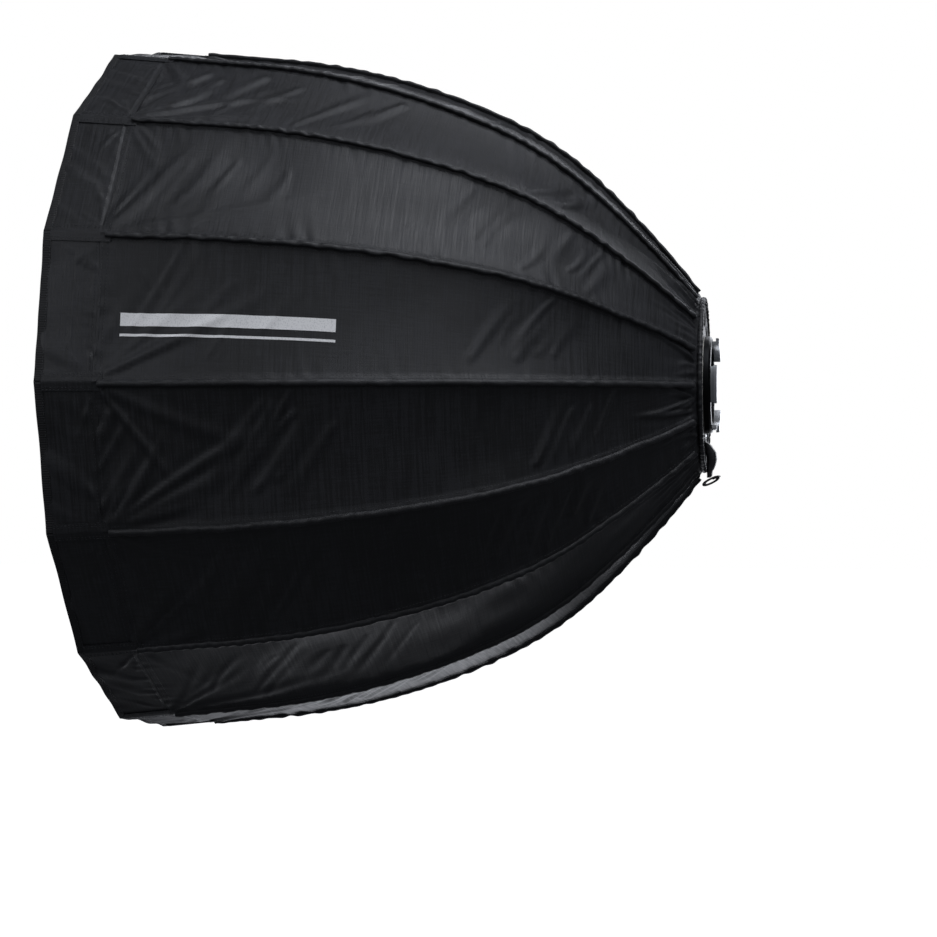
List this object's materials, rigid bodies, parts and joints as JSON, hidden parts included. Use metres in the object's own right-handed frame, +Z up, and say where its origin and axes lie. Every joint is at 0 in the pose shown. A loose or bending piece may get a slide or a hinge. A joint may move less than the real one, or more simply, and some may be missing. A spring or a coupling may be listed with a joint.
{
  "type": "folding deep softbox",
  "caption": "Deep parabolic softbox on a rotating speedring: hinged bent rods, cloth gores, recessed front diffuser, inner baffle and a three-lug bayonet mount.",
  "frame": {"origin": "centre of the mount insert's back face, where the light's face rests", "axes": "+Y along the axis towards the light, the mouth faces -Y, +Z up"},
  "size_m": [0.8966, 0.7419, 0.8966],
  "materials": {
    "black_nylon": "woven nylon, silver coated inside",
    "webbing": "woven webbing",
    "white_diffusion": "translucent diffusion cloth",
    "rod_steel": "drawn spring steel",
    "black_anodised": "black anodised",
    "zinc_steel": "zinc plated",
    "nylon_washer": "natural nylon"
  },
  "bodies": {
    "mount": {"mount_insert": "black_anodised", "retaining_ring": "black_anodised", "retaining_screws": "zinc_steel", "rear_glide_washer": "nylon_washer", "front_glide_washer": "nylon_washer"},
    "speedring": {"hub_ring": "black_anodised", "hinge_pins": "zinc_steel", "latch_springs": "rod_steel", "latch_rivets": "zinc_steel", "neck_cuff": "black_nylon", "neck_binding": "black_nylon", "flap_anchor": "black_anodised"},
    "neck_flap": {"neck_flap": "webbing", "flap_pull_tab": "webbing"},
    "front_diffuser": {"front_diffuser": "white_diffusion", "diffuser_hem": "white_diffusion"},
    "inner_baffle": {"inner_baffle": "white_diffusion", "baffle_tabs": "webbing", "baffle_snaps": "zinc_steel"},
    "rod_01": {"rod_01": "rod_steel"},
    "rod_02": {"rod_02": "rod_steel"},
    "rod_03": {"rod_03": "rod_steel"},
    "rod_04": {"rod_04": "rod_steel"},
    "rod_05": {"rod_05": "rod_steel"},
    "rod_06": {"rod_06": "rod_steel"},
    "rod_07": {"rod_07": "rod_steel"},
    "rod_08": {"rod_08": "rod_steel"},
    "rod_09": {"rod_09": "rod_steel"},
    "rod_10": {"rod_10": "rod_steel"},
    "rod_11": {"rod_11": "rod_steel"},
    "rod_12": {"rod_12": "rod_steel"},
    "rod_13": {"rod_13": "rod_steel"},
    "rod_14": {"rod_14": "rod_steel"},
    "rod_15": {"rod_15": "rod_steel"},
    "rod_16": {"rod_16": "rod_steel"},
    "gore_01": {"gore_01": "black_nylon"},
    "gore_02": {"gore_02": "black_nylon"},
    "gore_03": {"gore_03": "black_nylon"},
    "gore_04": {"gore_04": "black_nylon"},
    "gore_05": {"gore_05": "black_nylon"},
    "gore_06": {"gore_06": "black_nylon"},
    "gore_07": {"gore_07": "black_nylon"},
    "gore_08": {"gore_08": "black_nylon"},
    "gore_09": {"gore_09": "black_nylon"},
    "gore_10": {"gore_10": "black_nylon"},
    "gore_11": {"gore_11": "black_nylon"},
    "gore_12": {"gore_12": "black_nylon"},
    "gore_13": {"gore_13": "black_nylon"},
    "gore_14": {"gore_14": "black_nylon"},
    "gore_15": {"gore_15": "black_nylon"},
    "gore_16": {"gore_16": "black_nylon"}
  },
  "joints": [
    {"name": "ring_rotation", "type": "hinge", "parent": "mount", "child": "speedring", "pos_m": [0, 0, 0], "axis": [0, 1, 0], "continuous": true},
    {"name": "flap_lift", "type": "hinge", "parent": "speedring", "child": "neck_flap", "pos_m": [0, -0.00925, -0.067], "axis": [1, 0, 0], "range_deg": [0, 60]},
    {"name": "diffuser_pull_off", "type": "slide", "parent": "speedring", "child": "front_diffuser", "axis": [0, -1, 0], "range_m": [0, 0.15]},
    {"name": "baffle_pull_out", "type": "slide", "parent": "speedring", "child": "inner_baffle", "axis": [0, -1, 0], "range_m": [0, 0.24]},
    {"name": "fold_01", "type": "hinge", "parent": "speedring", "child": "rod_01", "pos_m": [0.088, -0.027, 0], "axis": [0, 0, -1], "range_deg": [0, 30], "deforming": ["gore_01", "gore_02", "gore_03", "gore_04", "gore_05", "gore_06", "gore_07", "gore_08", "gore_09", "gore_10", "gore_11", "gore_12", "gore_13", "gore_14", "gore_15", "gore_16", "front_diffuser", "diffuser_hem", "inner_baffle", "baffle_tabs", "baffle_snaps", "neck_cuff", "neck_binding", "latch_springs"]},
    {"name": "fold_02", "type": "hinge", "parent": "speedring", "child": "rod_02", "pos_m": [0.0813, -0.027, 0.03368], "axis": [0.3827, 0, -0.9239], "range_deg": [0, 30]},
    {"name": "fold_03", "type": "hinge", "parent": "speedring", "child": "rod_03", "pos_m": [0.06223, -0.027, 0.06223], "axis": [0.7071, 0, -0.7071], "range_deg": [0, 30]},
    {"name": "fold_04", "type": "hinge", "parent": "speedring", "child": "rod_04", "pos_m": [0.03368, -0.027, 0.0813], "axis": [0.9239, 0, -0.3827], "range_deg": [0, 30]},
    {"name": "fold_05", "type": "hinge", "parent": "speedring", "child": "rod_05", "pos_m": [0, -0.027, 0.088], "axis": [1, 0, 0], "range_deg": [0, 30]},
    {"name": "fold_06", "type": "hinge", "parent": "speedring", "child": "rod_06", "pos_m": [-0.03368, -0.027, 0.0813], "axis": [0.9239, 0, 0.3827], "range_deg": [0, 30]},
    {"name": "fold_07", "type": "hinge", "parent": "speedring", "child": "rod_07", "pos_m": [-0.06223, -0.027, 0.06223], "axis": [0.7071, 0, 0.7071], "range_deg": [0, 30]},
    {"name": "fold_08", "type": "hinge", "parent": "speedring", "child": "rod_08", "pos_m": [-0.0813, -0.027, 0.03368], "axis": [0.3827, 0, 0.9239], "range_deg": [0, 30]},
    {"name": "fold_09", "type": "hinge", "parent": "speedring", "child": "rod_09", "pos_m": [-0.088, -0.027, 0], "axis": [0, 0, 1], "range_deg": [0, 30]},
    {"name": "fold_10", "type": "hinge", "parent": "speedring", "child": "rod_10", "pos_m": [-0.0813, -0.027, -0.03368], "axis": [-0.3827, 0, 0.9239], "range_deg": [0, 30]},
    {"name": "fold_11", "type": "hinge", "parent": "speedring", "child": "rod_11", "pos_m": [-0.06223, -0.027, -0.06223], "axis": [-0.7071, 0, 0.7071], "range_deg": [0, 30]},
    {"name": "fold_12", "type": "hinge", "parent": "speedring", "child": "rod_12", "pos_m": [-0.03368, -0.027, -0.0813], "axis": [-0.9239, 0, 0.3827], "range_deg": [0, 30]},
    {"name": "fold_13", "type": "hinge", "parent": "speedring", "child": "rod_13", "pos_m": [0, -0.027, -0.088], "axis": [-1, 0, 0], "range_deg": [0, 30]},
    {"name": "fold_14", "type": "hinge", "parent": "speedring", "child": "rod_14", "pos_m": [0.03368, -0.027, -0.0813], "axis": [-0.9239, 0, -0.3827], "range_deg": [0, 30]},
    {"name": "fold_15", "type": "hinge", "parent": "speedring", "child": "rod_15", "pos_m": [0.06223, -0.027, -0.06223], "axis": [-0.7071, 0, -0.7071], "range_deg": [0, 30]},
    {"name": "fold_16", "type": "hinge", "parent": "speedring", "child": "rod_16", "pos_m": [0.0813, -0.027, -0.03368], "axis": [-0.3827, 0, -0.9239], "range_deg": [0, 30]},
    {"name": "gather_01", "type": "hinge", "parent": "speedring", "child": "gore_01", "pos_m": [0.08631, -0.027, 0.01717], "axis": [0.1951, 0, -0.9808], "range_deg": [0, 30]},
    {"name": "gather_02", "type": "hinge", "parent": "speedring", "child": "gore_02", "pos_m": [0.07317, -0.027, 0.04889], "axis": [0.5556, 0, -0.8315], "range_deg": [0, 30]},
    {"name": "gather_03", "type": "hinge", "parent": "speedring", "child": "gore_03", "pos_m": [0.04889, -0.027, 0.07317], "axis": [0.8315, 0, -0.5556], "range_deg": [0, 30]},
    {"name": "gather_04", "type": "hinge", "parent": "speedring", "child": "gore_04", "pos_m": [0.01717, -0.027, 0.08631], "axis": [0.9808, 0, -0.1951], "range_deg": [0, 30]},
    {"name": "gather_05", "type": "hinge", "parent": "speedring", "child": "gore_05", "pos_m": [-0.01717, -0.027, 0.08631], "axis": [0.9808, 0, 0.1951], "range_deg": [0, 30]},
    {"name": "gather_06", "type": "hinge", "parent": "speedring", "child": "gore_06", "pos_m": [-0.04889, -0.027, 0.07317], "axis": [0.8315, 0, 0.5556], "range_deg": [0, 30]},
    {"name": "gather_07", "type": "hinge", "parent": "speedring", "child": "gore_07", "pos_m": [-0.07317, -0.027, 0.04889], "axis": [0.5556, 0, 0.8315], "range_deg": [0, 30]},
    {"name": "gather_08", "type": "hinge", "parent": "speedring", "child": "gore_08", "pos_m": [-0.08631, -0.027, 0.01717], "axis": [0.1951, 0, 0.9808], "range_deg": [0, 30]},
    {"name": "gather_09", "type": "hinge", "parent": "speedring", "child": "gore_09", "pos_m": [-0.08631, -0.027, -0.01717], "axis": [-0.1951, 0, 0.9808], "range_deg": [0, 30]},
    {"name": "gather_10", "type": "hinge", "parent": "speedring", "child": "gore_10", "pos_m": [-0.07317, -0.027, -0.04889], "axis": [-0.5556, 0, 0.8315], "range_deg": [0, 30]},
    {"name": "gather_11", "type": "hinge", "parent": "speedring", "child": "gore_11", "pos_m": [-0.04889, -0.027, -0.07317], "axis": [-0.8315, 0, 0.5556], "range_deg": [0, 30]},
    {"name": "gather_12", "type": "hinge", "parent": "speedring", "child": "gore_12", "pos_m": [-0.01717, -0.027, -0.08631], "axis": [-0.9808, 0, 0.1951], "range_deg": [0, 30]},
    {"name": "gather_13", "type": "hinge", "parent": "speedring", "child": "gore_13", "pos_m": [0.01717, -0.027, -0.08631], "axis": [-0.9808, 0, -0.1951], "range_deg": [0, 30]},
    {"name": "gather_14", "type": "hinge", "parent": "speedring", "child": "gore_14", "pos_m": [0.04889, -0.027, -0.07317], "axis": [-0.8315, 0, -0.5556], "range_deg": [0, 30]},
    {"name": "gather_15", "type": "hinge", "parent": "speedring", "child": "gore_15", "pos_m": [0.07317, -0.027, -0.04889], "axis": [-0.5556, 0, -0.8315], "range_deg": [0, 30]},
    {"name": "gather_16", "type": "hinge", "parent": "speedring", "child": "gore_16", "pos_m": [0.08631, -0.027, -0.01717], "axis": [-0.1951, 0, -0.9808], "range_deg": [0, 30]}
  ],
  "couplings": [
    {"joint": "fold_02", "follows": "fold_01", "ratio": 1},
    {"joint": "fold_03", "follows": "fold_01", "ratio": 1},
    {"joint": "fold_04", "follows": "fold_01", "ratio": 1},
    {"joint": "fold_05", "follows": "fold_01", "ratio": 1},
    {"joint": "fold_06", "follows": "fold_01", "ratio": 1},
    {"joint": "fold_07", "follows": "fold_01", "ratio": 1},
    {"joint": "fold_08", "follows": "fold_01", "ratio": 1},
    {"joint": "fold_09", "follows": "fold_01", "ratio": 1},
    {"joint": "fold_10", "follows": "fold_01", "ratio": 1},
    {"joint": "fold_11", "follows": "fold_01", "ratio": 1},
    {"joint": "fold_12", "follows": "fold_01", "ratio": 1},
    {"joint": "fold_13", "follows": "fold_01", "ratio": 1},
    {"joint": "fold_14", "follows": "fold_01", "ratio": 1},
    {"joint": "fold_15", "follows": "fold_01", "ratio": 1},
    {"joint": "fold_16", "follows": "fold_01", "ratio": 1},
    {"joint": "gather_01", "follows": "fold_01", "ratio": 1},
    {"joint": "gather_02", "follows": "fold_01", "ratio": 1},
    {"joint": "gather_03", "follows": "fold_01", "ratio": 1},
    {"joint": "gather_04", "follows": "fold_01", "ratio": 1},
    {"joint": "gather_05", "follows": "fold_01", "ratio": 1},
    {"joint": "gather_06", "follows": "fold_01", "ratio": 1},
    {"joint": "gather_07", "follows": "fold_01", "ratio": 1},
    {"joint": "gather_08", "follows": "fold_01", "ratio": 1},
    {"joint": "gather_09", "follows": "fold_01", "ratio": 1},
    {"joint": "gather_10", "follows": "fold_01", "ratio": 1},
    {"joint": "gather_11", "follows": "fold_01", "ratio": 1},
    {"joint": "gather_12", "follows": "fold_01", "ratio": 1},
    {"joint": "gather_13", "follows": "fold_01", "ratio": 1},
    {"joint": "gather_14", "follows": "fold_01", "ratio": 1},
    {"joint": "gather_15", "follows": "fold_01", "ratio": 1},
    {"joint": "gather_16", "follows": "fold_01", "ratio": 1}
  ]
}
